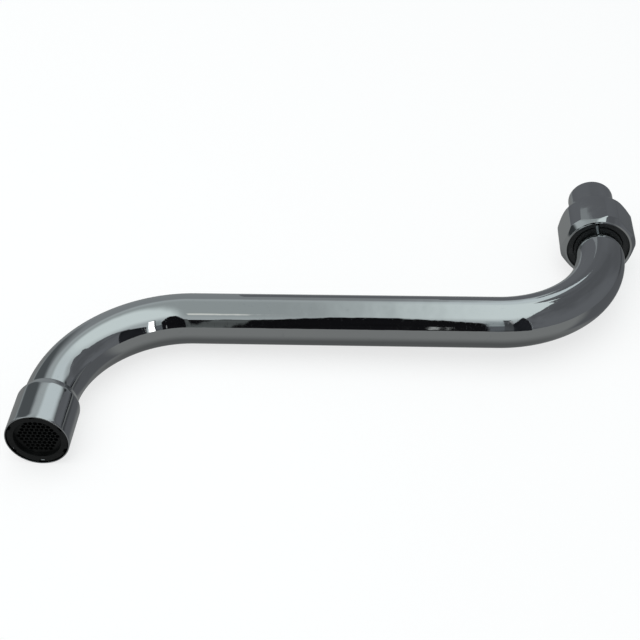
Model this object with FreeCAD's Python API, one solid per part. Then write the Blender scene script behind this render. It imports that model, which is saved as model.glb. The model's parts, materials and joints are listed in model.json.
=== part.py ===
"""Double-bend swivel spout of a wall-mounted sink tap, with its union nut and recessed aerator.

The spout lies on its side on a flat surface, resting on the outlet socket and on the union nut.
+X runs from the outlet to the inlet, +Y is the way the inlet opens (the outlet opens along -Y), +Z is up.
The origin is the bottom centre of the bounding box. Lengths are in millimetres, angles in degrees.
"""
import FreeCAD, Part
import os
from math import acos, asin, ceil, cos, degrees, radians, sin, sqrt, tan

V = FreeCAD.Vector

# ---- bent tube -----------------------------------------------------------------------------------
TUBE_OD = 20.0
TUBE_WALL = 1.0
REACH = 210.0             # between the inlet axis and the outlet axis
OUTLET_BEND_R = 47.5      # on the tube's centre line
INLET_BEND_R = 43.5
OUTLET_LEG = 22.0         # end of the outlet bend to the socket's rim
BEND_ANGLE = 90.0
FULL_TURN = 360.0
HEX_SIDES = 6
HEX_STEP = FULL_TURN / HEX_SIDES
CUT_PAST = 1.0                # how far a cutting shape stands out past what it cuts

# ---- outlet socket: lengths are measured inwards from its rim ------------------------------------
SOCKET_OD = 23.6
SOCKET_SHOULDER_AT = 18.6     # the full diameter ends here
SOCKET_FEATHER = 0.3          # wall left over the tube at the end of the shoulder
SOCKET_RIM_ROUND = 0.25
MOUTH_EDGE_ROUND = 0.1        # the two roundings share the thin wall round the mouth
MOUTH_ID = 22.8
MOUTH_DEPTH = 1.4
SOCKET_THREAD_ID = 20.92      # minor diameter of an M22 x 1 internal thread
SEAT_AT = 11.5                # flat seat of the aerator's seal
SEAT_ID = 17.2
TUBE_STOP_AT = 13.5           # the tube's end butts here

# ---- aerator: lengths are measured inwards from the socket's rim ---------------------------------
HOUSING_OD = 20.80
HOUSING_ID = 18.4
HEAD_OD = 22.2                # the head sits in the socket's mouth, 0.3 clear all round
HEAD_END_AT = 1.1
HEAD_ROUND = 0.25
HOUSING_FACE_AT = 0.5
HOUSING_LIP_ID = 17.4
HOUSING_LIP = 1.7
HOUSING_END_AT = 10.2
KEY_NOTCHES = 6
KEY_NOTCH_WIDTH = 2.0
KEY_NOTCH_DEPTH = 0.6         # right through the head
KEY_NOTCH_FLOOR_R = 10.2      # the notches are cut from here outwards
GRID_THICKNESS = 2.4
GRID_RIM = 0.7
GRID_CELL = 1.5               # across flats
GRID_PITCH = 1.8
SCREEN_THICKNESS = 0.25
SCREEN_HOLE = 0.9
SCREEN_PITCH = 1.3
SPACER_THICKNESS = 0.6
SPACER_WALL = 1.0
MIXING_RING_HEIGHT = 0.9      # room for air and water to mix under the jet disc
JET_DISC_THICKNESS = 1.2
JET_HOLE = 0.8
JET_COUNT = 18
JET_CIRCLE_R = 6.4
REGULATOR_BASE = 0.6
REGULATOR_HEIGHT = 1.7
REGULATOR_CHANNEL_R = 6.1
REGULATOR_CORE_R = 4.2
REGULATOR_FLUTES = 8
REGULATOR_FLUTE = 0.9         # diameter of each
REGULATOR_PORT = 1.0
REGULATOR_PORTS = 12
STRAINER_FLANGE = 0.7
STRAINER_DOME_R = 8.0         # at the foot of the dome
STRAINER_DOME_HEIGHT = 3.4
STRAINER_WALL = 0.5
STRAINER_HOLE = 0.8
STRAINER_ROWS = ((2.6, 7), (4.4, 12), (6.1, 18))     # radius of each row of holes, and its count
SEAL_ID = 16.7
SEAL_OD = 20.6

# ---- inlet: lengths are measured along the inlet axis from the end of the inlet bend --------------
NUT_AT = 5.1
NUT_LENGTH = 19.4
NUT_ACROSS_FLATS = 29.0
NUT_CORNER_OD = 31.0          # the corners are turned to this diameter
NUT_TURN = 12.0               # how far a flat stands off the level, as the nut lies
NUT_FACE_OD = 27.4
NUT_NEAR_CHAMFER = 2.2
NUT_FAR_CHAMFER = 3.4
NUT_RECESS_ID = 25.8
NUT_RECESS_DEPTH = 3.5
NUT_LIP = 3.0
NUT_LIP_ID = 21.2
NUT_THREAD_ID = 24.12         # minor diameter of a G 3/4 internal thread
NUT_MOUTH_ID = 26.6
NUT_MOUTH_CHAMFER = 1.2
BUSH_RECESSED = 1.2
BUSH_ID = 20.3
BUSH_SLIT = 1.6
BUSH_SLIT_TURN = -7.0         # from straight up, towards +X
BUSH_SLIT_REACH = 16.0        # how far out the slit is cut, past the bush's wall
SLIP_WASHER = 1.0
SLIP_WASHER_ID = 20.2
SLIP_WASHER_OD = 23.4
SEAT_WASHER = 1.0
SEAT_WASHER_ID = 19.0
SPIGOT_OD = 19.0
SPIGOT_ID = 14.0
SPIGOT_PAST_NUT = 17.6
SPIGOT_TAIL = 9.6             # the part brazed inside the tube
SPIGOT_TIP_ROUND = 1.6
SPIGOT_TIP_CHAMFER = 0.6
COLLAR = 2.5
COLLAR_OD = 23.4
GROOVE_WIDTH = 2.4
GROOVE_FLOOR_OD = 15.9
GROOVES_AT = (2.8, 7.2)       # from the collar's far face to each groove
O_RING_SECTION = 1.96
SMALL_ROUND = 0.3

# ---- values that follow --------------------------------------------------------------------------
tube_r = TUBE_OD / 2
bore_r = tube_r - TUBE_WALL
outlet_x = -REACH / 2
inlet_x = REACH / 2
rim_y = -OUTLET_BEND_R - OUTLET_LEG
inlet_y = INLET_BEND_R
run_length = REACH - OUTLET_BEND_R - INLET_BEND_R
nut_lip_at = NUT_AT + NUT_RECESS_DEPTH
nut_cavity_at = nut_lip_at + NUT_LIP
nut_end_at = NUT_AT + NUT_LENGTH
collar_at = nut_cavity_at + SLIP_WASHER
collar_end_at = collar_at + COLLAR
spigot_end_at = nut_end_at + SPIGOT_PAST_NUT

grid_at = HOUSING_FACE_AT + HOUSING_LIP
screen_lower_at = grid_at + GRID_THICKNESS
spacer_at = screen_lower_at + SCREEN_THICKNESS
screen_upper_at = spacer_at + SPACER_THICKNESS
mixing_ring_at = screen_upper_at + SCREEN_THICKNESS
jet_disc_at = mixing_ring_at + MIXING_RING_HEIGHT
regulator_at = jet_disc_at + JET_DISC_THICKNESS
strainer_at = regulator_at + REGULATOR_HEIGHT


def nut_support(direction):
    """How far the lying nut reaches from its axis, in a direction counted from straight down to +X."""
    corner_r = NUT_CORNER_OD / 2
    flat_half_angle = degrees(acos(NUT_ACROSS_FLATS / NUT_CORNER_OD))
    off_flat = abs((direction - NUT_TURN + HEX_STEP / 2) % HEX_STEP - HEX_STEP / 2)
    return corner_r * cos(radians(max(0.0, flat_half_angle - off_flat)))


rise = nut_support(0.0) - SOCKET_OD / 2
lean = degrees(asin(rise / REACH))
low_x = inlet_x - REACH * cos(radians(lean)) - SOCKET_OD / 2
high_x = inlet_x + nut_support(90.0)
middle_x = (low_x + high_x) / 2
middle_y = (rim_y + inlet_y + spigot_end_at) / 2


def laid_down(shape):
    """Lean the spout until socket and nut both touch the surface, and move it to the origin."""
    placed = shape.copy()
    placed.rotate(V(inlet_x, 0, 0), V(0, 1, 0), -lean)
    placed.translate(V(-middle_x, -middle_y, nut_support(0.0)))
    return placed


def export(node, shape):
    if not shape.isValid() or len(shape.Solids) != 1:
        raise ValueError("%s: valid %s, solids %d" % (node, shape.isValid(), len(shape.Solids)))
    shape = laid_down(shape.Solids[0])
    shape.exportStep("parts/" + node + ".step")
    box = shape.BoundBox
    print("%-24s %9.2f mm3  x %.2f..%.2f  y %.2f..%.2f  z %.2f..%.2f" % (
        node, shape.Volume, box.XMin, box.XMax, box.YMin, box.YMax, box.ZMin, box.ZMax))


# ---- drawing helpers -----------------------------------------------------------------------------
def outline_face(corners):
    """Face in the XY plane; each corner is (x, y) or (x, y, radius of its rounding)."""
    count = len(corners)
    points = [V(c[0], c[1], 0) for c in corners]
    edges = []
    ends = []
    for i in range(count):
        here = points[i]
        radius = corners[i][2] if len(corners[i]) > 2 else 0.0
        if radius == 0.0:
            ends.append((here, here))
            continue
        back = (points[i - 1] - here).normalize()
        ahead = (points[(i + 1) % count] - here).normalize()
        half = back.getAngle(ahead) / 2
        start = here + back * (radius / tan(half))
        finish = here + ahead * (radius / tan(half))
        inward = (back + ahead).normalize()
        middle = here + inward * (radius / sin(half) - radius)
        edges.append(Part.Arc(start, middle, finish).toShape())
        ends.append((start, finish))
    for i in range(count):
        start = ends[i][1]
        finish = ends[(i + 1) % count][0]
        side = points[(i + 1) % count] - points[i]
        if (finish - start).dot(side) <= 0:
            raise ValueError("roundings overlap on the side from %s" % points[i])
        edges.append(Part.LineSegment(start, finish).toShape())
    return Part.Face(Part.Wire(Part.__sortEdges__(edges)))


def turned(corners):
    """Solid turned about the Y axis; each corner is (radius, distance along the axis[, rounding])."""
    return outline_face(corners).revolve(V(0, 0, 0), V(0, 1, 0), FULL_TURN)


def ring(inner_d, outer_d, start, length):
    inner = inner_d / 2
    outer = outer_d / 2
    return turned([(inner, start), (outer, start), (outer, start + length), (inner, start + length)])


def rod(diameter, start, length, x=0.0, z=0.0):
    return Part.makeCylinder(diameter / 2, length, V(x, start, z), V(0, 1, 0))


def hex_prism(across_flats, start, length, x=0.0, z=0.0):
    corner_r = across_flats / sqrt(3)
    corners = []
    for k in range(HEX_SIDES + 1):
        angle = radians(HEX_STEP * k)
        corners.append(V(x + corner_r * cos(angle), start, z + corner_r * sin(angle)))
    return Part.Face(Part.makePolygon(corners)).extrude(V(0, length, 0))


def hex_centres(pitch, within):
    """Places on a triangular lattice, no further than a radius from its middle."""
    places = []
    reach = int(ceil(within / pitch)) * 2
    for row in range(-reach, reach + 1):
        for column in range(-reach, reach + 1):
            x = pitch * (column + row / 2)
            z = pitch * row * sqrt(3) / 2
            if x * x + z * z <= within * within:
                places.append((x, z))
    return places


def around(count):
    return [FULL_TURN * k / count for k in range(count)]


def turned_about_y(shape, angle):
    copy = shape.copy()
    copy.rotate(V(0, 0, 0), V(0, 1, 0), angle)
    return copy


def at_outlet(shape):
    return shape.translated(V(outlet_x, rim_y, 0))


def at_inlet(shape):
    return shape.translated(V(inlet_x, inlet_y, 0))


# ---- the spout -----------------------------------------------------------------------------------
def annulus(centre, normal):
    outer = Part.Face(Part.Wire(Part.makeCircle(tube_r, centre, normal)))
    inner = Part.Face(Part.Wire(Part.makeCircle(bore_r, centre, normal)))
    return outer.cut(inner).Faces[0]


def spout_tube():
    outlet_bend_end = V(outlet_x, -OUTLET_BEND_R, 0)
    run_start = V(outlet_x + OUTLET_BEND_R, 0, 0)
    run_end = V(inlet_x - INLET_BEND_R, 0, 0)
    inlet_bend_end = V(inlet_x, inlet_y, 0)
    outlet_leg = annulus(outlet_bend_end, V(0, 1, 0)).extrude(V(0, TUBE_STOP_AT - OUTLET_LEG, 0))
    outlet_bend = annulus(outlet_bend_end, V(0, 1, 0)).revolve(
        V(run_start.x, -OUTLET_BEND_R, 0), V(0, 0, -1), BEND_ANGLE)
    run = annulus(run_start, V(1, 0, 0)).extrude(V(run_length, 0, 0))
    inlet_bend = annulus(run_end, V(1, 0, 0)).revolve(V(run_end.x, INLET_BEND_R, 0), V(0, 0, 1), BEND_ANGLE)
    inlet_leg = annulus(inlet_bend_end, V(0, 1, 0)).extrude(V(0, collar_at, 0))
    return outlet_leg.multiFuse([outlet_bend, run, inlet_bend, inlet_leg])


def outlet_socket():
    outer = SOCKET_OD / 2
    shoulder_round = outer - tube_r - SOCKET_FEATHER
    return at_outlet(turned([
        (MOUTH_ID / 2, 0, MOUTH_EDGE_ROUND),
        (outer, 0, SOCKET_RIM_ROUND),
        (outer, SOCKET_SHOULDER_AT, 2 * shoulder_round),
        (tube_r + SOCKET_FEATHER, OUTLET_LEG),
        (tube_r, OUTLET_LEG),
        (tube_r, TUBE_STOP_AT),
        (SEAT_ID / 2, TUBE_STOP_AT),
        (SEAT_ID / 2, SEAT_AT),
        (SOCKET_THREAD_ID / 2, SEAT_AT),
        (SOCKET_THREAD_ID / 2, MOUTH_DEPTH + MOUTH_ID / 2 - SOCKET_THREAD_ID / 2),
        (MOUTH_ID / 2, MOUTH_DEPTH),
    ]))


def inlet_spigot():
    outer = SPIGOT_OD / 2
    inner = SPIGOT_ID / 2
    corners = [
        (inner, collar_at - SPIGOT_TAIL),
        (bore_r, collar_at - SPIGOT_TAIL),
        (bore_r, collar_at),
        (COLLAR_OD / 2, collar_at, SMALL_ROUND),
        (COLLAR_OD / 2, collar_end_at, SMALL_ROUND),
        (outer, collar_end_at),
    ]
    for groove_at in GROOVES_AT:
        start = collar_end_at + groove_at
        corners.append((outer, start))
        corners.append((GROOVE_FLOOR_OD / 2, start))
        corners.append((GROOVE_FLOOR_OD / 2, start + GROOVE_WIDTH))
        corners.append((outer, start + GROOVE_WIDTH))
    corners.append((outer, spigot_end_at, SPIGOT_TIP_ROUND))
    corners.append((inner + SPIGOT_TIP_CHAMFER, spigot_end_at))
    corners.append((inner, spigot_end_at - SPIGOT_TIP_CHAMFER))
    return at_inlet(turned(corners))


def spigot_o_ring(groove_at):
    middle = collar_end_at + groove_at + GROOVE_WIDTH / 2
    centre_r = (GROOVE_FLOOR_OD + O_RING_SECTION) / 2
    return at_inlet(Part.makeTorus(centre_r, O_RING_SECTION / 2, V(0, middle, 0), V(0, 1, 0)))


def seat_washer():
    return at_inlet(ring(SEAT_WASHER_ID, SLIP_WASHER_OD, collar_end_at, SEAT_WASHER))


def slip_washer():
    return at_inlet(ring(SLIP_WASHER_ID, SLIP_WASHER_OD, nut_cavity_at, SLIP_WASHER))


# ---- the nut -------------------------------------------------------------------------------------
def union_nut():
    face_r = NUT_FACE_OD / 2
    corner_r = NUT_CORNER_OD / 2
    thread_r = NUT_THREAD_ID / 2
    turned_blank = turned([
        (NUT_RECESS_ID / 2, NUT_AT),
        (face_r, NUT_AT, SMALL_ROUND),
        (corner_r, NUT_AT + NUT_NEAR_CHAMFER, SMALL_ROUND),
        (corner_r, nut_end_at - NUT_FAR_CHAMFER, SMALL_ROUND),
        (face_r, nut_end_at, SMALL_ROUND),
        (NUT_MOUTH_ID / 2, nut_end_at),
        (thread_r, nut_end_at - NUT_MOUTH_CHAMFER),
        (thread_r, nut_cavity_at),
        (NUT_LIP_ID / 2, nut_cavity_at),
        (NUT_LIP_ID / 2, nut_lip_at),
        (NUT_RECESS_ID / 2, nut_lip_at),
    ])
    hexagon = turned_about_y(hex_prism(NUT_ACROSS_FLATS, NUT_AT, NUT_LENGTH), -NUT_TURN + lean)
    return at_inlet(turned_blank.common(hexagon))


def nut_guide_bush():
    start = NUT_AT + BUSH_RECESSED
    outer = NUT_RECESS_ID / 2
    inner = BUSH_ID / 2
    whole = turned([
        (inner, start, SMALL_ROUND),
        (outer, start, SMALL_ROUND),
        (outer, nut_lip_at),
        (inner, nut_lip_at),
    ])
    slit = Part.makeBox(BUSH_SLIT, NUT_LENGTH, BUSH_SLIT_REACH, V(-BUSH_SLIT / 2, 0, 0))
    return at_inlet(whole.cut(turned_about_y(slit, BUSH_SLIT_TURN + lean)))


# ---- the aerator ---------------------------------------------------------------------------------
def aerator_seal():
    return at_outlet(ring(SEAL_ID, SEAL_OD, HOUSING_END_AT, SEAT_AT - HOUSING_END_AT))


def aerator_housing():
    outer = HOUSING_OD / 2
    body = turned([
        (HOUSING_LIP_ID / 2, HOUSING_FACE_AT),
        (HEAD_OD / 2, HOUSING_FACE_AT, HEAD_ROUND),
        (HEAD_OD / 2, HEAD_END_AT),
        (outer, HEAD_END_AT),
        (outer, HOUSING_END_AT),
        (HOUSING_ID / 2, HOUSING_END_AT),
        (HOUSING_ID / 2, grid_at),
        (HOUSING_LIP_ID / 2, grid_at),
    ])
    notch_corner = V(-KEY_NOTCH_WIDTH / 2, HOUSING_FACE_AT - KEY_NOTCH_DEPTH, KEY_NOTCH_FLOOR_R)
    notch = Part.makeBox(KEY_NOTCH_WIDTH, 2 * KEY_NOTCH_DEPTH, HOUSING_OD, notch_corner)
    notches = [turned_about_y(notch, angle) for angle in around(KEY_NOTCHES)]
    return at_outlet(body.cut(notches))


def outlet_grid():
    disc = rod(HOUSING_ID, grid_at, GRID_THICKNESS)
    reach = HOUSING_ID / 2 - GRID_RIM - GRID_CELL / sqrt(3)
    cells = [hex_prism(GRID_CELL, grid_at - CUT_PAST, GRID_THICKNESS + 2 * CUT_PAST, x, z)
             for x, z in hex_centres(GRID_PITCH, reach)]
    return at_outlet(disc.cut(cells))


def screen(start):
    disc = rod(HOUSING_ID, start, SCREEN_THICKNESS)
    reach = HOUSING_ID / 2 - GRID_RIM - SCREEN_HOLE / 2
    holes = [rod(SCREEN_HOLE, start - CUT_PAST, SCREEN_THICKNESS + 2 * CUT_PAST, x, z)
             for x, z in hex_centres(SCREEN_PITCH, reach)]
    return at_outlet(disc.cut(holes))


def spacer(start, height):
    return at_outlet(ring(HOUSING_ID - 2 * SPACER_WALL, HOUSING_ID, start, height))


def jet_disc():
    disc = rod(HOUSING_ID, jet_disc_at, JET_DISC_THICKNESS)
    holes = []
    for angle in around(JET_COUNT):
        x = JET_CIRCLE_R * cos(radians(angle))
        z = JET_CIRCLE_R * sin(radians(angle))
        holes.append(rod(JET_HOLE, jet_disc_at - CUT_PAST, JET_DISC_THICKNESS + 2 * CUT_PAST, x, z))
    return at_outlet(disc.cut(holes))


def flow_regulator_body():
    channel_floor = regulator_at + REGULATOR_BASE
    base = rod(HOUSING_ID, regulator_at, REGULATOR_BASE)
    collar = ring(2 * REGULATOR_CHANNEL_R, HOUSING_ID, channel_floor, REGULATOR_HEIGHT - REGULATOR_BASE)
    core = rod(2 * REGULATOR_CORE_R, channel_floor, REGULATOR_HEIGHT - REGULATOR_BASE)
    flutes = []
    for angle in around(REGULATOR_FLUTES):
        x = REGULATOR_CORE_R * cos(radians(angle))
        z = REGULATOR_CORE_R * sin(radians(angle))
        flutes.append(rod(REGULATOR_FLUTE, channel_floor, REGULATOR_HEIGHT, x, z))
    ports = []
    port_r = (REGULATOR_CHANNEL_R + REGULATOR_CORE_R) / 2
    for angle in around(REGULATOR_PORTS):
        x = port_r * cos(radians(angle))
        z = port_r * sin(radians(angle))
        ports.append(rod(REGULATOR_PORT, regulator_at - CUT_PAST, REGULATOR_HEIGHT, x, z))
    return at_outlet(base.fuse([collar, core.cut(flutes)]).cut(ports))


def flow_regulator_o_ring():
    section = REGULATOR_CHANNEL_R - REGULATOR_CORE_R
    top = regulator_at + REGULATOR_HEIGHT
    height = min(section, REGULATOR_HEIGHT - REGULATOR_BASE)
    centre_r = (REGULATOR_CHANNEL_R + REGULATOR_CORE_R) / 2
    return at_outlet(Part.makeTorus(centre_r, height / 2, V(0, top - height / 2, 0), V(0, 1, 0)))


def inlet_strainer():
    foot = strainer_at + STRAINER_FLANGE
    through = 2 * STRAINER_DOME_HEIGHT
    flange = ring(2 * (STRAINER_DOME_R - STRAINER_WALL), HOUSING_ID, strainer_at, STRAINER_FLANGE)
    sphere_r = (STRAINER_DOME_R ** 2 + STRAINER_DOME_HEIGHT ** 2) / (2 * STRAINER_DOME_HEIGHT)
    centre = V(0, foot + STRAINER_DOME_HEIGHT - sphere_r, 0)
    shell = Part.makeSphere(sphere_r, centre).cut(Part.makeSphere(sphere_r - STRAINER_WALL, centre))
    dome = shell.common(rod(HOUSING_ID, foot, through))
    holes = [rod(STRAINER_HOLE, foot, through)]
    for row_r, count in STRAINER_ROWS:
        for angle in around(count):
            x = row_r * cos(radians(angle))
            z = row_r * sin(radians(angle))
            holes.append(rod(STRAINER_HOLE, foot, through, x, z))
    return at_outlet(flange.fuse(dome).cut(holes))


os.makedirs("parts", exist_ok=True)
export("spout_tube", spout_tube())
export("outlet_socket", outlet_socket())
export("inlet_spigot", inlet_spigot())
export("spigot_o_ring_inner", spigot_o_ring(GROOVES_AT[0]))
export("spigot_o_ring_outer", spigot_o_ring(GROOVES_AT[1]))
export("seat_washer", seat_washer())
export("slip_washer", slip_washer())
export("union_nut", union_nut())
export("nut_guide_bush", nut_guide_bush())
export("aerator_seal", aerator_seal())
export("aerator_housing", aerator_housing())
export("outlet_grid", outlet_grid())
export("screen_lower", screen(screen_lower_at))
export("screen_spacer", spacer(spacer_at, SPACER_THICKNESS))
export("screen_upper", screen(screen_upper_at))
export("mixing_chamber_ring", spacer(mixing_ring_at, MIXING_RING_HEIGHT))
export("jet_disc", jet_disc())
export("flow_regulator_body", flow_regulator_body())
export("flow_regulator_o_ring", flow_regulator_o_ring())
export("inlet_strainer", inlet_strainer())
legs = OUTLET_LEG - TUBE_STOP_AT + collar_at
bends = (OUTLET_BEND_R + INLET_BEND_R) * radians(BEND_ANGLE)
print("lean %.4f deg, tube length on its centre line %.1f mm" % (lean, run_length + bends + legs))
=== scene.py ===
"""Looks for the double-bend swivel spout: fine meshes, finishes, a plain studio and the camera.

Shapes are drawn in millimetres in the spout's own frame: X along the run, Y along the two legs, Z square
to the plane of the bends, with the origin half way between the two legs on the run's centre line.
"""
import json
import math

import bmesh
import bpy
from mathutils import Matrix, Vector


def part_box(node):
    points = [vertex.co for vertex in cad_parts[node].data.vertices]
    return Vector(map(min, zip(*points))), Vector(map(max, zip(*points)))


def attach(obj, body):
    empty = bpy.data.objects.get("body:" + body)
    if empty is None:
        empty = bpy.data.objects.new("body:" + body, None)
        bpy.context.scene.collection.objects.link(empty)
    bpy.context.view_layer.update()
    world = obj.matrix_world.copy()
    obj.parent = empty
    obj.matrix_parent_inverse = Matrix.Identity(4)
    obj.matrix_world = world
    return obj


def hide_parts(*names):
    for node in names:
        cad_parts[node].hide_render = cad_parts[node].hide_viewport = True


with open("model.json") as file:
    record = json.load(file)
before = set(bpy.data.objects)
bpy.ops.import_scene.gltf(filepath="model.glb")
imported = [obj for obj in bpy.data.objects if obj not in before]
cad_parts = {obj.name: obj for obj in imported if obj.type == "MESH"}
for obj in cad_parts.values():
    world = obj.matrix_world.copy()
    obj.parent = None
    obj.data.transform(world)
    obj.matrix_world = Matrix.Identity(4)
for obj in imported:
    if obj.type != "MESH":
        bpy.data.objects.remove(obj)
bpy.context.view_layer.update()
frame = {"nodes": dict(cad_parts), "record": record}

# ---- dimensions of the spout, in millimetres; the CAD leaves the threads plain --------------------
REACH = 210.0
TUBE_R = 10.0
BORE_R = 9.0
OUTLET_BEND_R = 47.5
INLET_BEND_R = 43.5
OUTLET_LEG = 22.0
RIM_Y = -OUTLET_BEND_R - OUTLET_LEG
OUTLET_X = -REACH / 2
INLET_X = REACH / 2

SOCKET_R = 11.8
SOCKET_SHOULDER_AT = 18.6
SOCKET_FEATHER = 0.3
MOUTH_R = 11.4
MOUTH_DEPTH = 1.4
SOCKET_THREAD_R = 10.46
SOCKET_THREAD_DEPTH = 0.54
FINE_PITCH = 1.0
SEAT_AT = 11.5
SEAT_R = 8.6
TUBE_STOP_AT = 13.5

HOUSING_R = 10.40
HOUSING_BORE_R = 9.2
HOUSING_LIP_R = 8.7
HEAD_R = 11.1
HEAD_END_AT = 1.1
HOUSING_FACE_AT = 0.5
HOUSING_LIP = 1.7
HOUSING_END_AT = 10.2
KEY_NOTCHES = 6
KEY_NOTCH_WIDTH = 2.0
KEY_NOTCH_FLOOR_R = 10.2
NOTCH_LEFT = 0.02             # of the head's height over the notch's floor

NUT_AT = 5.1
NUT_LENGTH = 19.4
NUT_HALF_FLATS = 14.5
NUT_CORNER_R = 15.5
NUT_TURN = -12.0              # degrees
NUT_FACE_R = 13.7
NUT_NEAR_CHAMFER = 2.2
NUT_FAR_CHAMFER = 3.4
NUT_RECESS_R = 12.9
NUT_RECESS_DEPTH = 3.5
NUT_LIP = 3.0
NUT_LIP_R = 10.6
NUT_THREAD_R = 12.06
NUT_THREAD_DEPTH = 1.16
NUT_PITCH = 1.814
NUT_MOUTH_R = 13.3
NUT_MOUTH_CHAMFER = 1.2
BUSH_RECESSED = 1.2
BUSH_R = 10.15
BUSH_SLIT = 1.6
BUSH_SLIT_TURN = -7.0         # degrees

WASHER = 1.0
SLIP_WASHER_R = 10.1
SEAT_WASHER_R = 9.5
WASHER_OUTER_R = 11.7
COLLAR = 2.5
SPIGOT_R = 9.5
SPIGOT_BORE_R = 7.0
SPIGOT_PAST_NUT = 17.6
SPIGOT_TAIL = 9.6
SPIGOT_TIP_ROUND = 1.6
SPIGOT_TIP_CHAMFER = 0.6
GROOVE_WIDTH = 2.4
GROOVE_FLOOR_R = 7.95
GROOVES_AT = (2.8, 7.2)
O_RING_R = 0.98

nut_lip_at = NUT_AT + NUT_RECESS_DEPTH
nut_cavity_at = nut_lip_at + NUT_LIP
nut_end_at = NUT_AT + NUT_LENGTH
collar_at = nut_cavity_at + WASHER
collar_end_at = collar_at + COLLAR
spigot_end_at = nut_end_at + SPIGOT_PAST_NUT

# ---- finenesses of the meshes ----------------------------------------------------------------------
FULL_TURN = 2 * math.pi
AROUND = 144
AROUND_FINE = 360             # for the nut's corners and the aerator's notches
ARC_STEPS = 5                 # to each rounding of an outline
THREAD_STEPS = 10             # to each pitch
O_RING_STEPS = 28
LEG_STEPS = 4
BEND_STEPS = 72
RUN_STEPS = 60
INLET_STEPS = 5
PLAIN_SIDE = 1.5              # the longest side of a plain outline
HOUSING_SIDE = 0.5
NUT_SIDE = 1.0
NUT_CORNER_SIDE = 0.3
SAME_R = 0.01                 # how near a radius is to a thread's to be part of it
SHARP_ANGLE = math.radians(38)
MM = 0.001


# ---- the spout's own frame -------------------------------------------------------------------------
def mount(name):
    return next(m for m in frame["record"]["mounts"] if m["name"] == name)


socket_low, socket_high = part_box("outlet_socket")
outlet_middle = (Vector(socket_low) + Vector(socket_high)) / 2
inlet_middle = Vector(mount("swivel_spigot")["pos_m"])
outlet_middle.y = inlet_middle.y = socket_low[1] - RIM_Y * MM
run_way = (inlet_middle - outlet_middle).normalized()
leg_way = Vector((0, 1, 0))
up_way = run_way.cross(leg_way)
run_middle = (outlet_middle + inlet_middle) / 2
lean = math.atan2(run_way.z, run_way.x)


def place(x, y, z):
    """A point of the spout's own frame, in millimetres, as a point of the row frame, in metres."""
    return run_middle + (run_way * x + leg_way * y + up_way * z) * MM


# ---- mesh helpers ----------------------------------------------------------------------------------
def outline(corners):
    """Closed outline; each corner is (radius, y) or (radius, y, rounding), and roundings become arcs."""
    points = []
    count = len(corners)
    for i, corner in enumerate(corners):
        here = Vector(corner[:2])
        rounding = corner[2] if len(corner) > 2 else 0.0
        if rounding == 0.0:
            points.append(tuple(here))
            continue
        back = (Vector(corners[i - 1][:2]) - here).normalized()
        ahead = (Vector(corners[(i + 1) % count][:2]) - here).normalized()
        half = back.angle(ahead) / 2
        centre = here + (back + ahead).normalized() * (rounding / math.sin(half))
        start = here + back * (rounding / math.tan(half)) - centre
        turn = start.angle_signed(here + ahead * (rounding / math.tan(half)) - centre)
        for k in range(ARC_STEPS + 1):
            angle = -turn * k / ARC_STEPS
            points.append(tuple(centre + Matrix.Rotation(angle, 2) @ start))
    return points


def divided(points, longest):
    """The closed outline with more points, so that no side is longer than longest(r, y) allows."""
    result = []
    for i, (r, y) in enumerate(points):
        next_r, next_y = points[(i + 1) % len(points)]
        side = math.hypot(next_r - r, next_y - y)
        pieces = max(1, math.ceil(side / longest((r + next_r) / 2, (y + next_y) / 2)))
        for k in range(pieces):
            t = k / pieces
            result.append((r + (next_r - r) * t, y + (next_y - y) * t))
    return result


def make_piece(name, rows, wrapped_rows, u_step, material, nodes, body):
    """A mesh of a grid of points: rows of equal length, each row a closed loop of (point, uv)."""
    mesh = bpy.data.meshes.new(name)
    across = len(rows[0])
    points = [point for row in rows for point, _ in row]
    uvs = [uv for row in rows for _, uv in row]
    faces = []
    corners_uv = []
    row_count = len(rows)
    for i in range(row_count if wrapped_rows else row_count - 1):
        after = (i + 1) % row_count
        for j in range(across):
            beside = (j + 1) % across
            here, ahead = i * across, after * across
            faces.append((here + j, ahead + j, ahead + beside, here + beside))
            base = uvs[here + j]
            far_u = u_step * (i + 1) if after == 0 else uvs[ahead + j][0]
            far_v = uvs[here + beside][1]
            corners_uv += [base, (far_u, base[1]), (far_u, far_v), (base[0], far_v)]
    if not wrapped_rows:
        last_row = range((row_count - 1) * across, row_count * across)
        for end in (tuple(range(across)), tuple(reversed(last_row))):
            faces.append(end)
            corners_uv += [uvs[k] for k in end]
    mesh.from_pydata(points, [], faces)
    layer = mesh.uv_layers.new(name="surface")
    for k, uv in enumerate(corners_uv):
        layer.data[k].uv = uv
    shaped = bmesh.new()
    shaped.from_mesh(mesh)
    bmesh.ops.recalc_face_normals(shaped, faces=shaped.faces)
    shaped.to_mesh(mesh)
    shaped.free()
    mesh.shade_smooth()
    mesh.set_sharp_from_angle(angle=SHARP_ANGLE)
    piece = bpy.data.objects.new(name, mesh)
    bpy.context.scene.collection.objects.link(piece)
    mesh.materials.append(material)
    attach(piece, body)
    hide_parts(*nodes)
    return piece


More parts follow.
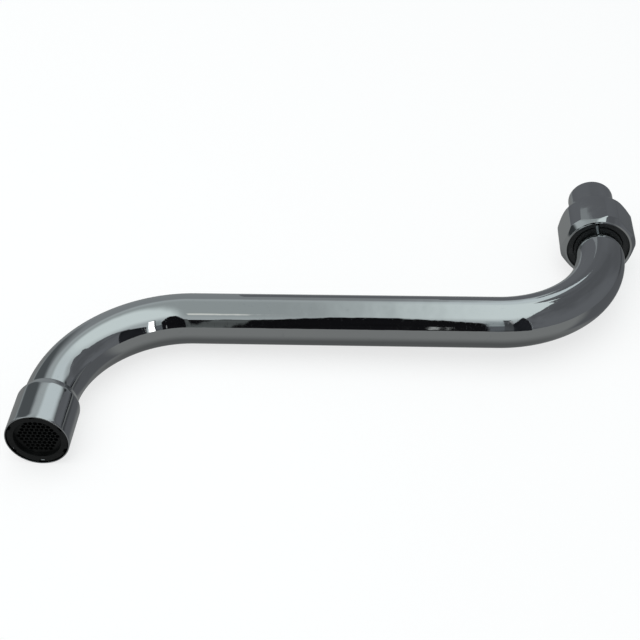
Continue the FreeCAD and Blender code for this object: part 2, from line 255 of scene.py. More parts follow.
def lathe(name, profile, middle, start_y, material, nodes, body,
          around=AROUND, shaped=None, cut=None):
    """A profile of (radius, y) turned about a leg's axis.

    shaped(r, y, turn) moves a point. cut(r) gives a slit's middle and half its width, as angles.
    """
    length = 0.0
    along = []
    for k, (r, y) in enumerate(profile):
        along.append(length)
        next_r, next_y = profile[(k + 1) % len(profile)]
        length += math.hypot(next_r - r, next_y - y)
    rows = []
    row_count = around + 1 if cut else around
    mean_r = sum(r for r, _ in profile) / len(profile)
    for i in range(row_count):
        row = []
        for k, (r, y) in enumerate(profile):
            if cut:
                slit_middle, half = cut(r)
                turn = slit_middle + half + (FULL_TURN - 2 * half) * i / around
            else:
                turn = FULL_TURN * i / around
            new_r, new_y = shaped(r, y, turn) if shaped else (r, y)
            point = place(middle + new_r * math.sin(turn), start_y + new_y, new_r * math.cos(turn))
            row.append((point, (mean_r * FULL_TURN * i / around, along[k])))
        rows.append(row)
    return make_piece(name, rows, not cut, mean_r * FULL_TURN / around, material, nodes, body)


THREAD_FLANK = 0.42           # each flank's share of the pitch


def thread_cut(depth, pitch, y):
    """How deep a thread is cut at a place along it, from 0 at its crest to depth at its root."""
    phase = (y / pitch) % 1.0
    rise = min(phase, 1.0 - phase) * 2
    return depth * min(1.0, max(0.0, (rise - (1 - 2 * THREAD_FLANK) / 2) / (2 * THREAD_FLANK)))


def fade(y, low, high, over):
    """1 well inside low..high, falling to 0 at its ends."""
    return max(0.0, min(1.0, (y - low) / over, (high - y) / over))


# ---- material helpers ------------------------------------------------------------------------------
def add(tree, kind, inputs=None, **settings):
    """A new node with its settings; an input takes a value or another node's output."""
    node = tree.nodes.new(kind)
    for key, value in settings.items():
        setattr(node, key, value)
    for key, value in (inputs or {}).items():
        if isinstance(value, bpy.types.NodeSocket):
            tree.links.new(value, node.inputs[key])
        else:
            node.inputs[key].default_value = value
    return node


def new_material(name):
    material = bpy.data.materials.new(name)
    material.use_nodes = True
    tree = material.node_tree
    return material, tree, tree.nodes["Principled BSDF"]


def noise(tree, where, scale, detail=2.0, roughness=0.5):
    return add(tree, "ShaderNodeTexNoise", {
        "Vector": where, "Scale": scale, "Detail": detail, "Roughness": roughness}).outputs["Fac"]


def spread(tree, value, from_low, from_high, to_low, to_high):
    return add(tree, "ShaderNodeMapRange", {
        "Value": value, "From Min": from_low, "From Max": from_high,
        "To Min": to_low, "To Max": to_high}, interpolation_type="SMOOTHSTEP").outputs["Result"]


def calculate(tree, operation, first, second=0.0, third=0.0):
    node = add(tree, "ShaderNodeMath", {0: first, 1: second, 2: third}, operation=operation)
    return node.outputs["Value"]


def mixed_colour(tree, factor, first, second):
    node = tree.nodes.new("ShaderNodeMix")
    node.data_type = "RGBA"
    for socket, value in ((node.inputs[0], factor), (node.inputs[6], first), (node.inputs[7], second)):
        if isinstance(value, bpy.types.NodeSocket):
            tree.links.new(value, socket)
        else:
            socket.default_value = value
    return node.outputs[2]


def stretched(tree, where, x, y, z):
    return add(tree, "ShaderNodeMapping", {"Vector": where, "Scale": (x, y, z)}).outputs["Vector"]


def grey(value):
    return (value, value, value, 1.0)


# Grains are to the metre, and heights of bumps are in metres. A pair says where a noise starts and is full.
CHROME = (0.70, 0.715, 0.72, 1.0)
CHROME_DULL = (0.60, 0.62, 0.63, 1.0)
FILM_GRAIN = 70.0
WORN_WHERE = (0.50, 0.75)
MARK_GRAIN = 420.0
MARKS_WHERE = (0.60, 0.72)
MARKS_ROUGHER = 0.05
MARKS_DULLER = 0.35
HAIRLINES_STRETCH = (9.0, 0.16, 1.0)
SCRATCHES_STRETCH = (0.35, 6.0, 1.0)
SCRATCHES_WHERE = (0.66, 0.74)
SCRATCHES_ROUGHER = 0.06
WAVE_GRAIN = 85.0
WAVE_HEIGHT = 0.00009
LINE_HEIGHT = 0.000004
LINE_STRENGTH = 0.35


def chrome(name, smooth=0.03, dull=0.10, wave=1.0, lines=1.0):
    """Plated metal: polishing lines, faint waviness of the plating, dried water marks and dull wear."""
    material, tree, shader = new_material(name)
    where = add(tree, "ShaderNodeTexCoord").outputs["Object"]
    surface = add(tree, "ShaderNodeUVMap", uv_map="surface").outputs["UV"]
    film = noise(tree, where, FILM_GRAIN, 4.0, 0.6)
    marks = spread(tree, noise(tree, where, MARK_GRAIN, 5.0, 0.65), *MARKS_WHERE, 0.0, 1.0)
    hairlines = noise(tree, stretched(tree, surface, *HAIRLINES_STRETCH), 1.0, 3.0, 0.7)
    scratches = noise(tree, stretched(tree, surface, *SCRATCHES_STRETCH), 1.0, 2.0, 0.6)
    scratches = spread(tree, scratches, *SCRATCHES_WHERE, 0.0, 1.0)
    worn = spread(tree, film, *WORN_WHERE, 0.0, 1.0)
    roughness = calculate(tree, "MULTIPLY_ADD", worn, dull - smooth, smooth)
    roughness = calculate(tree, "MULTIPLY_ADD", marks, MARKS_ROUGHER, roughness)
    roughness = calculate(tree, "MULTIPLY_ADD", scratches, SCRATCHES_ROUGHER, roughness)
    tree.links.new(roughness, shader.inputs["Roughness"])
    colour = mixed_colour(tree, calculate(tree, "MULTIPLY", marks, MARKS_DULLER), CHROME, CHROME_DULL)
    tree.links.new(colour, shader.inputs["Base Color"])
    shader.inputs["Metallic"].default_value = 1.0
    waves = add(tree, "ShaderNodeBump", {
        "Height": noise(tree, where, WAVE_GRAIN, 2.0, 0.45), "Strength": 1.0,
        "Distance": WAVE_HEIGHT * wave})
    fine = add(tree, "ShaderNodeBump", {
        "Height": calculate(tree, "ADD", hairlines, calculate(tree, "MULTIPLY", scratches, -1.0)),
        "Strength": LINE_STRENGTH * lines, "Distance": LINE_HEIGHT, "Normal": waves.outputs["Normal"]})
    tree.links.new(fine.outputs["Normal"], shader.inputs["Normal"])
    return material


BLOTCH_GRAIN = 160.0
BLOTCH_BUMP = 0.6
MOULD_GRAIN = 5200.0
MOULD_HEIGHT = 0.00003
MOULD_STRENGTH = 0.4
RUBBED_WHERE = (0.52, 0.74)
RUBBED_MOST = 0.8
ROUGH_WHERE = (0.3, 0.7)


def moulded(name, colour, paler, rough_low, rough_high, gloss=0.5):
    """Moulded plastic or rubber: fine grain, faint blotches and paler rubbed places."""
    material, tree, shader = new_material(name)
    where = add(tree, "ShaderNodeTexCoord").outputs["Object"]
    shader.inputs["Specular IOR Level"].default_value = gloss
    blotches = noise(tree, where, BLOTCH_GRAIN, 4.0, 0.6)
    fine = noise(tree, where, MOULD_GRAIN, 2.0, 0.5)
    rubbed = spread(tree, blotches, *RUBBED_WHERE, 0.0, RUBBED_MOST)
    tree.links.new(mixed_colour(tree, rubbed, colour, paler), shader.inputs["Base Color"])
    tree.links.new(spread(tree, blotches, *ROUGH_WHERE, rough_low, rough_high), shader.inputs["Roughness"])
    bump = add(tree, "ShaderNodeBump", {
        "Height": calculate(tree, "MULTIPLY_ADD", blotches, BLOTCH_BUMP, fine),
        "Strength": MOULD_STRENGTH, "Distance": MOULD_HEIGHT})
    tree.links.new(bump.outputs["Normal"], shader.inputs["Normal"])
    return material


WIRE_WAVE = 0.00032           # in metres, from one wire to the next but one
WIRE_HEIGHT = 0.00004
WIRE_STRENGTH = 0.6
STEEL = (0.52, 0.52, 0.50, 1.0)
STEEL_STAINED = (0.34, 0.33, 0.30, 1.0)
STEEL_ROUGHNESS = (0.22, 0.45)
STAIN_GRAIN = 600.0


def woven_steel(name):
    """Fine stainless mesh: wires that cross over and under each other."""
    material, tree, shader = new_material(name)
    where = add(tree, "ShaderNodeTexCoord").outputs["Object"]
    scale = FULL_TURN / WIRE_WAVE
    parts = add(tree, "ShaderNodeSeparateXYZ", {"Vector": where})
    warp = calculate(tree, "SINE", calculate(tree, "MULTIPLY", parts.outputs["X"], scale))
    weft = calculate(tree, "SINE", calculate(tree, "MULTIPLY", parts.outputs["Z"], scale))
    woven = calculate(tree, "MULTIPLY", warp, weft)
    stain = noise(tree, where, STAIN_GRAIN, 3.0, 0.6)
    colour = mixed_colour(tree, stain, STEEL, STEEL_STAINED)
    tree.links.new(colour, shader.inputs["Base Color"])
    tree.links.new(spread(tree, stain, *ROUGH_WHERE, *STEEL_ROUGHNESS), shader.inputs["Roughness"])
    shader.inputs["Metallic"].default_value = 1.0
    bump = add(tree, "ShaderNodeBump", {
        "Height": woven, "Strength": WIRE_STRENGTH, "Distance": WIRE_HEIGHT})
    tree.links.new(bump.outputs["Normal"], shader.inputs["Normal"])
    return material


tube_finish = chrome("chrome_tube", 0.025, 0.075)
socket_finish = chrome("chrome_socket", 0.035, 0.11)
spigot_finish = chrome("chrome_spigot", 0.08, 0.20, wave=0.4, lines=2.0)
nut_finish = chrome("chrome_nut", 0.05, 0.15, wave=0.8, lines=1.5)
bush_finish = moulded(
    "plastic_satin_black", (0.022, 0.024, 0.025, 1.0), (0.045, 0.047, 0.048, 1.0), 0.36, 0.55)
washer_finish = moulded(
    "plastic_waxy_white", (0.76, 0.75, 0.71, 1.0), (0.86, 0.85, 0.82, 1.0), 0.35, 0.55)
ring_finish = moulded(
    "rubber_black", (0.012, 0.012, 0.013, 1.0), (0.035, 0.035, 0.036, 1.0), 0.42, 0.62)
seal_finish = moulded(
    "rubber_seal", (0.018, 0.018, 0.019, 1.0), (0.045, 0.045, 0.045, 1.0), 0.5, 0.7)
aerator_finish = moulded(
    "plastic_black", (0.0035, 0.004, 0.004, 1.0), (0.009, 0.0095, 0.0095, 1.0), 0.38, 0.6, gloss=0.4)
regulator_finish = moulded(
    "plastic_natural", (0.62, 0.61, 0.55, 1.0), (0.74, 0.73, 0.68, 1.0), 0.3, 0.5)
strainer_finish = moulded(
    "plastic_blue_grey", (0.07, 0.14, 0.20, 1.0), (0.15, 0.23, 0.30, 1.0), 0.3, 0.5)
screen_finish = woven_steel("steel_screen")


# ---- the bent tube ---------------------------------------------------------------------------------
QUARTER = math.pi / 2
FLATTENED = 0.010             # how much a bend is squeezed in its own plane


def straight(x, y, way_x, way_y, length, steps, count, distance):
    """The first count stations of a straight part that is divided into steps."""
    part = []
    for k in range(count):
        along = length * k / steps
        part.append((x + way_x * along, y + way_y * along, way_x, way_y, distance + along, 0.0))
    return part


def outlet_bend(sine, cosine):
    """A station's place and way in the outlet bend."""
    return OUTLET_X + OUTLET_BEND_R * (1 - cosine), -OUTLET_BEND_R + OUTLET_BEND_R * sine, sine, cosine


def inlet_bend(sine, cosine):
    """A station's place and way in the inlet bend."""
    return INLET_X - INLET_BEND_R + INLET_BEND_R * sine, INLET_BEND_R - INLET_BEND_R * cosine, cosine, sine


def bend(turned, radius, distance):
    """The stations of a bend whose places and ways turned(sine, cosine) gives."""
    part = []
    for k in range(BEND_STEPS):
        turn = QUARTER * k / BEND_STEPS
        part.append((*turned(math.sin(turn), math.cos(turn)), distance + radius * turn, math.sin(2 * turn)))
    return part


def tube_stations():
    """Places on the centre line: (x, y, way x, way y, distance, how far inside a bend from 0 to 1)."""
    leg = OUTLET_LEG - TUBE_STOP_AT
    stations = straight(OUTLET_X, RIM_Y + TUBE_STOP_AT, 0.0, 1.0, leg, LEG_STEPS, LEG_STEPS, 0.0)
    distance = leg
    stations += bend(outlet_bend, OUTLET_BEND_R, distance)
    distance += OUTLET_BEND_R * QUARTER
    run = REACH - OUTLET_BEND_R - INLET_BEND_R
    stations += straight(OUTLET_X + OUTLET_BEND_R, 0.0, 1.0, 0.0, run, RUN_STEPS, RUN_STEPS, distance)
    distance += run
    stations += bend(inlet_bend, INLET_BEND_R, distance)
    distance += INLET_BEND_R * QUARTER
    stations += straight(INLET_X, INLET_BEND_R, 0.0, 1.0, collar_at, INLET_STEPS, INLET_STEPS + 1, distance)
    return stations


def bent_tube():
    rows = []
    stations = tube_stations()
    loop = [(s, TUBE_R) for s in stations] + [(s, BORE_R) for s in reversed(stations)]
    for i in range(AROUND):
        turn = FULL_TURN * i / AROUND
        row = []
        for (x, y, way_x, way_y, distance, bent), r in loop:
            side = r * math.cos(turn) * (1 - FLATTENED * bent)
            height = r * math.sin(turn) * (1 + FLATTENED * bent / 2)
            row.append((place(x + way_y * side, y - way_x * side, height), (r * turn, distance)))
        rows.append(row)
    return make_piece("tube_bent", rows, True, TUBE_R * FULL_TURN / AROUND, tube_finish,
                      ["spout_tube"], "spout")


bent_tube()

# ---- the outlet socket -----------------------------------------------------------------------------
THREAD_ENDS = 0.9             # over which a thread fades out


def socket_shape(r, y, turn):
    low = MOUTH_DEPTH + MOUTH_R - SOCKET_THREAD_R
    if abs(r - SOCKET_THREAD_R) > SAME_R or not low < y < SEAT_AT:
        return r, y
    cut = thread_cut(SOCKET_THREAD_DEPTH, FINE_PITCH, y - FINE_PITCH * turn / FULL_TURN)
    return r + cut * fade(y, low, SEAT_AT, THREAD_ENDS), y


socket_shoulder = SOCKET_R - TUBE_R - SOCKET_FEATHER
socket_outline = divided(outline([
    (MOUTH_R, 0.0, 0.1),
    (SOCKET_R, 0.0, 0.25),
    (SOCKET_R, SOCKET_SHOULDER_AT, 2 * socket_shoulder),
    (TUBE_R + SOCKET_FEATHER, OUTLET_LEG, 0.12),
    (TUBE_R, OUTLET_LEG),
    (TUBE_R, TUBE_STOP_AT),
    (SEAT_R, TUBE_STOP_AT),
    (SEAT_R, SEAT_AT),
    (SOCKET_THREAD_R, SEAT_AT),
    (SOCKET_THREAD_R, MOUTH_DEPTH + MOUTH_R - SOCKET_THREAD_R),
    (MOUTH_R, MOUTH_DEPTH),
]), lambda r, y: FINE_PITCH / THREAD_STEPS if abs(r - SOCKET_THREAD_R) < SAME_R else PLAIN_SIDE)
lathe("socket_turned", socket_outline, OUTLET_X, RIM_Y, socket_finish,
      ["outlet_socket"], "spout", shaped=socket_shape)

# ---- the inlet spigot ------------------------------------------------------------------------------
spigot_corners = [
    (SPIGOT_BORE_R, collar_at - SPIGOT_TAIL),
    (BORE_R, collar_at - SPIGOT_TAIL),
    (BORE_R, collar_at),
    (WASHER_OUTER_R, collar_at, 0.3),
    (WASHER_OUTER_R, collar_end_at, 0.3),
    (SPIGOT_R, collar_end_at),
]
for groove_at in GROOVES_AT:
    groove_start = collar_end_at + groove_at
    spigot_corners += [
        (SPIGOT_R, groove_start, 0.15),
        (GROOVE_FLOOR_R, groove_start, 0.2),
        (GROOVE_FLOOR_R, groove_start + GROOVE_WIDTH, 0.2),
        (SPIGOT_R, groove_start + GROOVE_WIDTH, 0.15),
    ]
spigot_corners += [
    (SPIGOT_R, spigot_end_at, SPIGOT_TIP_ROUND),
    (SPIGOT_BORE_R + SPIGOT_TIP_CHAMFER, spigot_end_at, 0.15),
    (SPIGOT_BORE_R, spigot_end_at - SPIGOT_TIP_CHAMFER, 0.15),
]
lathe("spigot_turned", divided(outline(spigot_corners), lambda r, y: PLAIN_SIDE), INLET_X, INLET_BEND_R,
      spigot_finish, ["inlet_spigot"], "spout")


# ---- rings of the inlet ----------------------------------------------------------------------------
def o_ring(name, node, groove_at):
    middle = collar_end_at + groove_at + GROOVE_WIDTH / 2
    profile = []
    for k in range(O_RING_STEPS):
        angle = FULL_TURN * k / O_RING_STEPS
        r = GROOVE_FLOOR_R + O_RING_R * (1 + math.cos(angle))
        profile.append((r, middle + O_RING_R * math.sin(angle)))
    lathe(name, profile, INLET_X, INLET_BEND_R, ring_finish, [node], "spout")


o_ring("o_ring_inner", "spigot_o_ring_inner", GROOVES_AT[0])
o_ring("o_ring_outer", "spigot_o_ring_outer", GROOVES_AT[1])


WASHER_ROUNDING = 0.12


def washer(name, node, body, inner_r, start):
    profile = outline([
        (inner_r, start, WASHER_ROUNDING),
        (WASHER_OUTER_R, start, WASHER_ROUNDING),
        (WASHER_OUTER_R, start + WASHER, WASHER_ROUNDING),
        (inner_r, start + WASHER, WASHER_ROUNDING),
    ])
    lathe(name, profile, INLET_X, INLET_BEND_R, washer_finish, [node], body)


washer("washer_seat", "seat_washer", "spout", SEAT_WASHER_R, collar_end_at)
washer("washer_slip", "slip_washer", "slip_washer", SLIP_WASHER_R, nut_cavity_at)

# ---- the union nut ---------------------------------------------------------------------------------
NUT_EDGE_SOFT = 0.16          # rounding where the flats meet the turned corners
NUT_OUTSIDE_R = NUT_RECESS_R + 0.3        # past it the hexagon shapes the nut
hexagon_step = FULL_TURN / 6
nut_face_turn = math.radians(NUT_TURN) + lean


def softly_smaller(first, second, soft):
    """The smaller of the two, with the corner between them rounded off."""
    near = max(0.0, soft - abs(first - second)) / soft
    return min(first, second) - near * near * soft / 4


def nut_shape(r, y, turn):
    if r > NUT_OUTSIDE_R:
        off = (turn - nut_face_turn + hexagon_step / 2) % hexagon_step - hexagon_step / 2
        return softly_smaller(r, NUT_HALF_FLATS / math.cos(off), NUT_EDGE_SOFT), y
    high = nut_end_at - NUT_MOUTH_CHAMFER
    if abs(r - NUT_THREAD_R) > SAME_R or not nut_cavity_at < y < high:
        return r, y
    cut = thread_cut(NUT_THREAD_DEPTH, NUT_PITCH, y - NUT_PITCH * turn / FULL_TURN)
    return r + cut * fade(y, nut_cavity_at, high, THREAD_ENDS), y


def nut_side(r, y):
    """The longest side of the nut's outline at a place."""
    if abs(r - NUT_THREAD_R) < SAME_R:
        return NUT_PITCH / THREAD_STEPS
    return NUT_CORNER_SIDE if r > NUT_FACE_R else NUT_SIDE


nut_outline = divided(outline([
    (NUT_RECESS_R, NUT_AT, 0.12),
    (NUT_FACE_R, NUT_AT, 0.25),
    (NUT_CORNER_R, NUT_AT + NUT_NEAR_CHAMFER, 0.3),
    (NUT_CORNER_R, nut_end_at - NUT_FAR_CHAMFER, 0.3),
    (NUT_FACE_R, nut_end_at, 0.12),
    (NUT_MOUTH_R, nut_end_at),
    (NUT_THREAD_R, nut_end_at - NUT_MOUTH_CHAMFER),
    (NUT_THREAD_R, nut_cavity_at),
    (NUT_LIP_R, nut_cavity_at, 0.2),
    (NUT_LIP_R, nut_lip_at, 0.2),
    (NUT_RECESS_R, nut_lip_at),
]), nut_side)
lathe("nut_hexagon", nut_outline, INLET_X, INLET_BEND_R, nut_finish,
      ["union_nut"], "union_nut", around=AROUND_FINE, shaped=nut_shape)

bush_start = NUT_AT + BUSH_RECESSED
bush_outline = outline([
    (BUSH_R, bush_start, 0.3),
    (NUT_RECESS_R, bush_start, 0.25),
    (NUT_RECESS_R, nut_lip_at),
    (BUSH_R, nut_lip_at),
])
slit_middle = math.radians(BUSH_SLIT_TURN) + lean
lathe("bush_split", bush_outline, INLET_X, INLET_BEND_R, bush_finish, ["nut_guide_bush"],
      "union_nut", cut=lambda r: (slit_middle, math.asin(BUSH_SLIT / 2 / r)))

# ---- the aerator -----------------------------------------------------------------------------------
HOUSING_THREAD_AT = 3.4
HOUSING_THREAD_DEPTH = 0.5
NOTCH_EDGE = 0.03             # of the face, to keep a notch's wall steep
notch_step = FULL_TURN / KEY_NOTCHES


def housing_shape(r, y, turn):
    off = (turn + notch_step / 2) % notch_step - notch_step / 2
    if r > KEY_NOTCH_FLOOR_R and y < HEAD_END_AT + SAME_R and abs(off) * r < KEY_NOTCH_WIDTH / 2:
        return KEY_NOTCH_FLOOR_R + (r - KEY_NOTCH_FLOOR_R) * NOTCH_LEFT, y
    if abs(r - HOUSING_R) > SAME_R or not HOUSING_THREAD_AT < y < HOUSING_END_AT:
        return r, y
    cut = thread_cut(HOUSING_THREAD_DEPTH, FINE_PITCH, y - FINE_PITCH * turn / FULL_TURN)
    return r - cut * fade(y, HOUSING_THREAD_AT, HOUSING_END_AT, THREAD_ENDS), y


housing_outline = divided(outline([
    (HOUSING_LIP_R, HOUSING_FACE_AT, 0.2),
    (KEY_NOTCH_FLOOR_R, HOUSING_FACE_AT),
    (KEY_NOTCH_FLOOR_R + NOTCH_EDGE, HOUSING_FACE_AT),
    (HEAD_R, HOUSING_FACE_AT, 0.2),
    (HEAD_R, HEAD_END_AT),
    (HOUSING_R, HEAD_END_AT),
    (HOUSING_R, HOUSING_END_AT, 0.2),
    (HOUSING_BORE_R, HOUSING_END_AT),
    (HOUSING_BORE_R, HOUSING_FACE_AT + HOUSING_LIP),
    (HOUSING_LIP_R, HOUSING_FACE_AT + HOUSING_LIP),
]), lambda r, y: FINE_PITCH / THREAD_STEPS if abs(r - HOUSING_R) < SAME_R else HOUSING_SIDE)
lathe("aerator_shell", housing_outline, OUTLET_X, RIM_Y, aerator_finish,
      ["aerator_housing"], "aerator", around=AROUND_FINE, shaped=housing_shape)

# These pieces keep the CAD's mesh and get a finish.
CARRIED_OVER = {
    "aerator_seal": seal_finish,
    "outlet_grid": aerator_finish,
    "screen_lower": screen_finish,
    "screen_spacer": regulator_finish,
    "screen_upper": screen_finish,
    "mixing_chamber_ring": regulator_finish,
    "jet_disc": regulator_finish,
    "flow_regulator_body": regulator_finish,
    "flow_regulator_o_ring": ring_finish,
    "inlet_strainer": strainer_finish,
}
for node_name, finish in CARRIED_OVER.items():
    slots = frame["nodes"][node_name].material_slots
    for material_slot in slots:
        material_slot.link = "OBJECT"
        material_slot.material = finish

# ---- the studio ------------------------------------------------------------------------------------
# The camera never sees the panels: they light the object and show in its reflections. Azimuths are from -Y
# towards +X, and they and the elevations are in degrees.
PANELS = (
    # name, middle azimuth, half width, soft edge, low, high, soft edge, colour
    ("table_right_dark", 115.0, 38.0, 10.0, -50.0, 1.0, 5.0, (0.105, 0.11, 0.118)),
    ("right_back_dark", 134.0, 12.0, 6.0, -12.0, 25.0, 6.0, (0.03, 0.033, 0.036)),
    ("back_dark", 180.0, 34.0, 8.0, -14.0, 20.0, 7.0, (0.17, 0.18, 0.19)),
    ("back_right_light", 160.0, 20.0, 6.0, 28.0, 52.0, 6.0, (0.62, 0.69, 0.71)),
    ("back_left_grey", -165.0, 17.0, 5.0, -20.0, 40.0, 5.0, (0.245, 0.265, 0.275)),
    ("back_left_dark", -140.0, 12.0, 5.0, 2.0, 41.0, 6.0, (0.085, 0.095, 0.10)),
    ("ceiling_edge", -20.5, 4.5, 2.0, 54.0, 60.0, 2.0, (0.78, 0.80, 0.76)),
    ("left_dark", -80.0, 30.0, 6.0, -3.0, 24.0, 5.0, (0.035, 0.04, 0.042)),
)
CEILING_LEFT = (0.335, 0.372, 0.376, 1.0)
CEILING_RIGHT = (0.72, 0.80, 0.80, 1.0)
CEILING_FROM = -0.13          # the sideways part of a direction where the ceiling is dimmest
CEILING_TO = 0.055            # and where it is brightest
WALLS = (0.42, 0.46, 0.47, 1.0)
TABLE = (0.215, 0.222, 0.222, 1.0)
# Painted shade: the table near and under the object, darkened as if by the object's own shadow, for the
# chrome's reflections.
TABLE_NEAR_SHADED = (0.105, 0.109, 0.110, 1.0)
# Elevations between which the far table, the walls and the ceiling take over from what is below them.
TABLE_RISES = (-78.0, -34.0)
WALLS_RISE = (-2.0, 2.0)
CEILING_RISES = (38.0, 60.0)
PALE = grey(0.985)            # what the camera sees in place of all this


def inside(tree, value, low, high, soft):
    rising = spread(tree, value, low - soft, low + soft, 0.0, 1.0)
    falling = spread(tree, value, high - soft, high + soft, 1.0, 0.0)
    return calculate(tree, "MULTIPLY", rising, falling)


def make_world():
    world = bpy.data.worlds.new("studio")
    bpy.context.scene.world = world
    world.use_nodes = True
    tree = world.node_tree
    background = tree.nodes["Background"]
    direction = add(tree, "ShaderNodeTexCoord").outputs["Generated"]
    parts = add(tree, "ShaderNodeSeparateXYZ", {"Vector": direction})
    backward = calculate(tree, "MULTIPLY", parts.outputs["Y"], -1.0)
    azimuth = calculate(tree, "DEGREES", calculate(tree, "ARCTAN2", parts.outputs["X"], backward))
    elevation = calculate(tree, "DEGREES", calculate(tree, "ARCSINE", parts.outputs["Z"]))
    sideways = spread(tree, parts.outputs["X"], CEILING_FROM, CEILING_TO, 0.0, 1.0)
    ceiling = mixed_colour(tree, sideways, CEILING_LEFT, CEILING_RIGHT)
    # Directions straight down start with the painted shade of the table near the object.
    colour = TABLE_NEAR_SHADED
    for edges, above in ((TABLE_RISES, TABLE), (WALLS_RISE, WALLS), (CEILING_RISES, ceiling)):
        colour = mixed_colour(tree, spread(tree, elevation, *edges, 0.0, 1.0), colour, above)
    for _, middle, half, soft, low, high, soft_height, panel in PANELS:
        off = calculate(tree, "WRAP", calculate(tree, "SUBTRACT", azimuth, middle), 180.0, -180.0)
        across = inside(tree, off, -half, half, soft)
        factor = calculate(tree, "MULTIPLY", across, inside(tree, elevation, low, high, soft_height))
        colour = mixed_colour(tree, factor, colour, (*panel, 1.0))
    seen = add(tree, "ShaderNodeLightPath").outputs["Is Camera Ray"]
    colour = mixed_colour(tree, seen, colour, PALE)
    tree.links.new(colour, background.inputs["Color"])
    background.inputs["Strength"].default_value = 1.0


make_world()

FLOOR_REACH = 3.0             # metres
FLOOR_COLOURS = (grey(0.29), grey(0.31))
FLOOR_GLOW = 0.73
PAPER_GRAIN = 900.0


def make_floor():
    mesh = bpy.data.meshes.new("floor")
    size = FLOOR_REACH
    corners = [(-size, -size, 0), (size, -size, 0), (size, size, 0), (-size, size, 0)]
    mesh.from_pydata(corners, [], [(0, 1, 2, 3)])
    floor = bpy.data.objects.new("floor", mesh)
    bpy.context.scene.collection.objects.link(floor)
    material, tree, shader = new_material("floor_pale")
    where = add(tree, "ShaderNodeTexCoord").outputs["Object"]
    paper = noise(tree, where, PAPER_GRAIN, 3.0, 0.6)
    tree.links.new(mixed_colour(tree, paper, *FLOOR_COLOURS), shader.inputs["Base Color"])
    shader.inputs["Roughness"].default_value = 0.9
    shader.inputs["Specular IOR Level"].default_value = 0.0
    shader.inputs["Emission Color"].default_value = PALE
    shader.inputs["Emission Strength"].default_value = FLOOR_GLOW
    mesh.materials.append(material)
    floor.visible_glossy = False


make_floor()


def panel_light(name, place_at, size, watts, aim, mirrored, spread_angle=math.pi):
    """A rectangular light facing aim; the chrome shows it only if mirrored is true."""
    light = bpy.data.lights.new(name, "AREA")
    light.shape = "RECTANGLE"
    light.size, light.size_y = size
    light.energy = watts
    light.spread = spread_angle
    lamp = bpy.data.objects.new(name, light)
    lamp.location = place_at
    lamp.rotation_mode = "QUATERNION"
    lamp.rotation_quaternion = (Vector(aim) - Vector(place_at)).to_track_quat("-Z", "Y")
    bpy.context.scene.collection.objects.link(lamp)
    lamp.visible_glossy = mirrored
    lamp.visible_camera = False


KEY_PLACE = (-0.3, -0.1, 1.1)
KEY_SIZE = (1.6, 1.4)
KEY_WATTS = 9.0
panel_light("key_panel", KEY_PLACE, KEY_SIZE, KEY_WATTS, (0.0, 0.0, 0.0), False)


# Cards stand round the object and are seen only in reflections.
def stood(x, y, z):
    """A place in millimetres from half way between the two legs, with its height from the floor."""
    return Vector((run_middle.x + x * MM, run_middle.y + y * MM, z * MM))


CARD_GRAIN = 7.0              # to the metre
CARD_WHERE = (0.32, 0.68)
CARD_DIMMEST = 0.84
CARD_BRIGHTEST = 1.18


def card(name, corners, colour):
    """A glowing card whose light is a little uneven, as painted board is in a tent of soft light."""
    mesh = bpy.data.meshes.new(name)
    mesh.from_pydata([stood(*corner) for corner in corners], [], [tuple(range(len(corners)))])
    board = bpy.data.objects.new(name, mesh)
    bpy.context.scene.collection.objects.link(board)
    material = bpy.data.materials.new(name)
    material.use_nodes = True
    tree = material.node_tree
    tree.nodes.clear()
    where = add(tree, "ShaderNodeTexCoord").outputs["Object"]
    uneven = noise(tree, where, CARD_GRAIN)
    strength = spread(tree, uneven, *CARD_WHERE, CARD_DIMMEST, CARD_BRIGHTEST)
    glow = add(tree, "ShaderNodeEmission", {"Color": (*colour, 1.0), "Strength": strength})
    add(tree, "ShaderNodeOutputMaterial", {"Surface": glow.outputs["Emission"]})
    mesh.materials.append(material)
    board.visible_camera = False
    board.visible_diffuse = False
    board.visible_transmission = False
    board.visible_shadow = False


def upright(name, first, last, low, high, colour):
    """A rectangular card between two places on the floor."""
    card(name, [(*first, low), (*last, low), (*last, high), (*first, high)], colour)


BLACK = (0.006, 0.006, 0.007)
FRONT_Y = -480.0              # the flags between the object and the camera's side
GLINT_Y = FRONT_Y + 8.0
front_outline = (
    (-112.0, 0.0), (-112.0, 370.0), (-60.0, 650.0), (0.0, 650.0), (84.0, 330.0), (84.0, 0.0))
card("front_flag", [(x, FRONT_Y, z) for x, z in front_outline], BLACK)
upright("front_flag_left", (-230.0, FRONT_Y), (-142.0, FRONT_Y), 0.0, 330.0, BLACK)
upright("front_gap_card", (-142.0, FRONT_Y), (-112.0, FRONT_Y), 0.0, 370.0, (0.10, 0.11, 0.11))
upright("front_glint_card", (39.0, GLINT_Y), (46.0, GLINT_Y), 30.0, 150.0, (0.30, 0.31, 0.31))
upright("dim_card", (84.0, FRONT_Y), (136.0, FRONT_Y), 0.0, 215.0, (0.10, 0.11, 0.12))
upright("dim_card_top", (84.0, FRONT_Y), (136.0, FRONT_Y), 215.0, 480.0, (0.30, 0.34, 0.35))
upright("strip_backing", (136.0, FRONT_Y), (206.0, FRONT_Y), 0.0, 560.0, (0.07, 0.075, 0.08))
upright("right_black_card", (170.0, -382.0), (149.0, -138.0), 0.0, 235.0, (0.014, 0.015, 0.018))
SIDE_GREY = (0.118, 0.124, 0.134)
WALL_X = 215.0
BACK_Y = 150.0
right_wall_outline = (
    (-250.0, 0.0), (BACK_Y, 0.0), (BACK_Y, 430.0), (112.0, 400.0), (60.0, 335.0), (-250.0, 320.0))
card("right_wall", [(WALL_X, y, z) for y, z in right_wall_outline], SIDE_GREY)
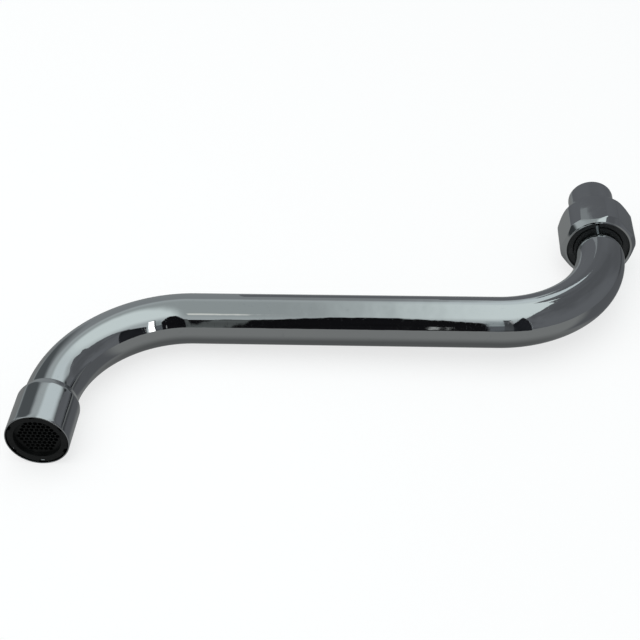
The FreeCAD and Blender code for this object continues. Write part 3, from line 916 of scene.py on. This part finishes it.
back_wall_outline = (
    (WALL_X, 0.0), (WALL_X, 378.0), (128.0, 310.0), (128.0, 135.0), (88.0, 135.0), (88.0, 92.0),
    (40.0, 92.0), (40.0, 72.0), (-60.0, 72.0), (-60.0, 0.0))
card("back_wall", [(x, BACK_Y, z) for x, z in back_wall_outline], SIDE_GREY)

# The bright strip is a column of gridded lamps aimed at the outlet bend; its glow is a radiance.
STRIP = (171.0, -462.0)
STRIP_AIM = (-66.0, -5.0, 20.0)
STRIP_WIDTH = 48.0
STRIP_HEIGHT = 500.0
STRIP_LAMPS = 5
STRIP_GLOW = 0.040
STRIP_SPREAD = math.radians(22)
lamp_height = STRIP_HEIGHT / STRIP_LAMPS
strip_watts = STRIP_GLOW * math.pi * STRIP_WIDTH * lamp_height * MM * MM
for lamp_index in range(STRIP_LAMPS):
    panel_light("strip_lamp_%d" % lamp_index, stood(*STRIP, lamp_height * (lamp_index + 0.5)),
                (STRIP_WIDTH * MM, lamp_height * MM), strip_watts, stood(*STRIP_AIM), True, STRIP_SPREAD)

# ---- the camera ------------------------------------------------------------------------------------
CAMERA_AZIMUTH = math.radians(5.714)
CAMERA_ELEVATION = math.radians(39.729)
CAMERA_ROLL = math.radians(-2.891)
CAMERA_DISTANCE = 506.4
CAMERA_RIGHT = -9.80
CAMERA_UP = 0.16
CAMERA_LENS = 72.42
CAMERA_SENSOR = 36.0
CAMERA_CLIP = (0.01, 20.0)    # metres
AIM_X = (OUTLET_BEND_R - INLET_BEND_R) / 2        # the middle of the run


def make_camera():
    level = math.cos(CAMERA_ELEVATION)
    back = Vector((
        math.sin(CAMERA_AZIMUTH) * level, -math.cos(CAMERA_AZIMUTH) * level, math.sin(CAMERA_ELEVATION)))
    right = (-back).cross(Vector((0, 0, 1))).normalized()
    up = right.cross(-back)
    rolled_right = right * math.cos(CAMERA_ROLL) + up * math.sin(CAMERA_ROLL)
    rolled_up = up * math.cos(CAMERA_ROLL) - right * math.sin(CAMERA_ROLL)
    spot = back * CAMERA_DISTANCE + rolled_right * CAMERA_RIGHT + rolled_up * CAMERA_UP
    data = bpy.data.cameras.new("camera")
    data.lens = CAMERA_LENS
    data.sensor_width = CAMERA_SENSOR
    data.clip_start, data.clip_end = CAMERA_CLIP
    camera = bpy.data.objects.new("camera", data)
    bpy.context.scene.collection.objects.link(camera)
    camera.location = place(AIM_X + spot.x, spot.y, spot.z)
    axes = Matrix((run_way, leg_way, up_way)).transposed()
    turned = Matrix((axes @ rolled_right, axes @ rolled_up, axes @ back)).transposed()
    camera.rotation_mode = "QUATERNION"
    camera.rotation_quaternion = turned.to_quaternion()
    bpy.context.scene.camera = camera


make_camera()
bpy.context.scene.view_settings.view_transform = "Standard"
